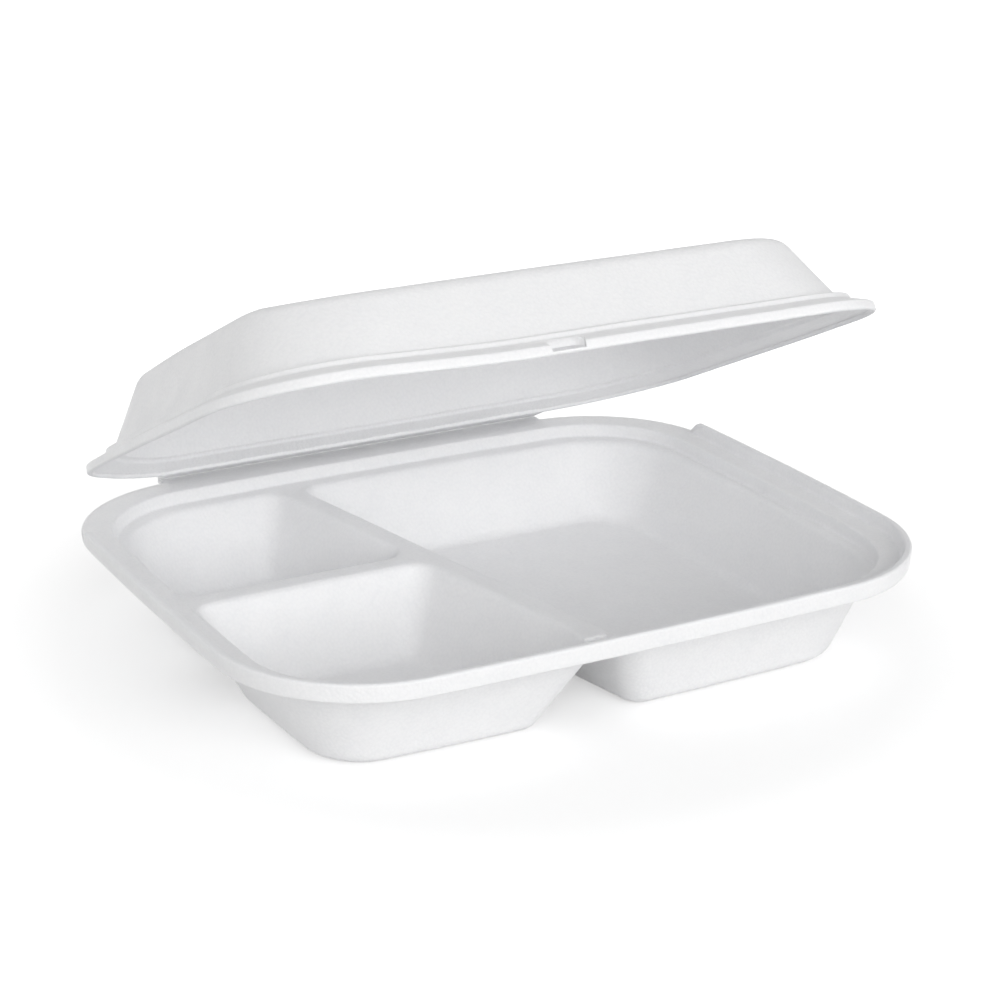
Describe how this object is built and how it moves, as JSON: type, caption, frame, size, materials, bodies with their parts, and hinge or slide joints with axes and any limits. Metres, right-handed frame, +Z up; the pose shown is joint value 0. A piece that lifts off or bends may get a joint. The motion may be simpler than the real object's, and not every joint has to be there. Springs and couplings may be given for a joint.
{
  "type": "foam clamshell container",
  "caption": "Foam clamshell meal box with a large well and side wells between hollow ridges, and a domed lid that swings on a living hinge.",
  "frame": {"origin": "on the table, under the middle of the box", "axes": "+Z up; X along the hinge; the hinge is at +Y and the latch side faces -Y"},
  "size_m": [0.2398, 0.2063, 0.1357],
  "materials": {
    "foam": "satin white foamed sheet with a closed skin"
  },
  "bodies": {
    "base": {"base": "foam"},
    "lid": {"lid": "foam"}
  },
  "joints": [
    {"name": "lid_hinge", "type": "hinge", "parent": "base", "child": "lid", "pos_m": [0, 0.103, 0.03345], "axis": [-1, 0, 0], "range_deg": [-25, 155]}
  ]
}
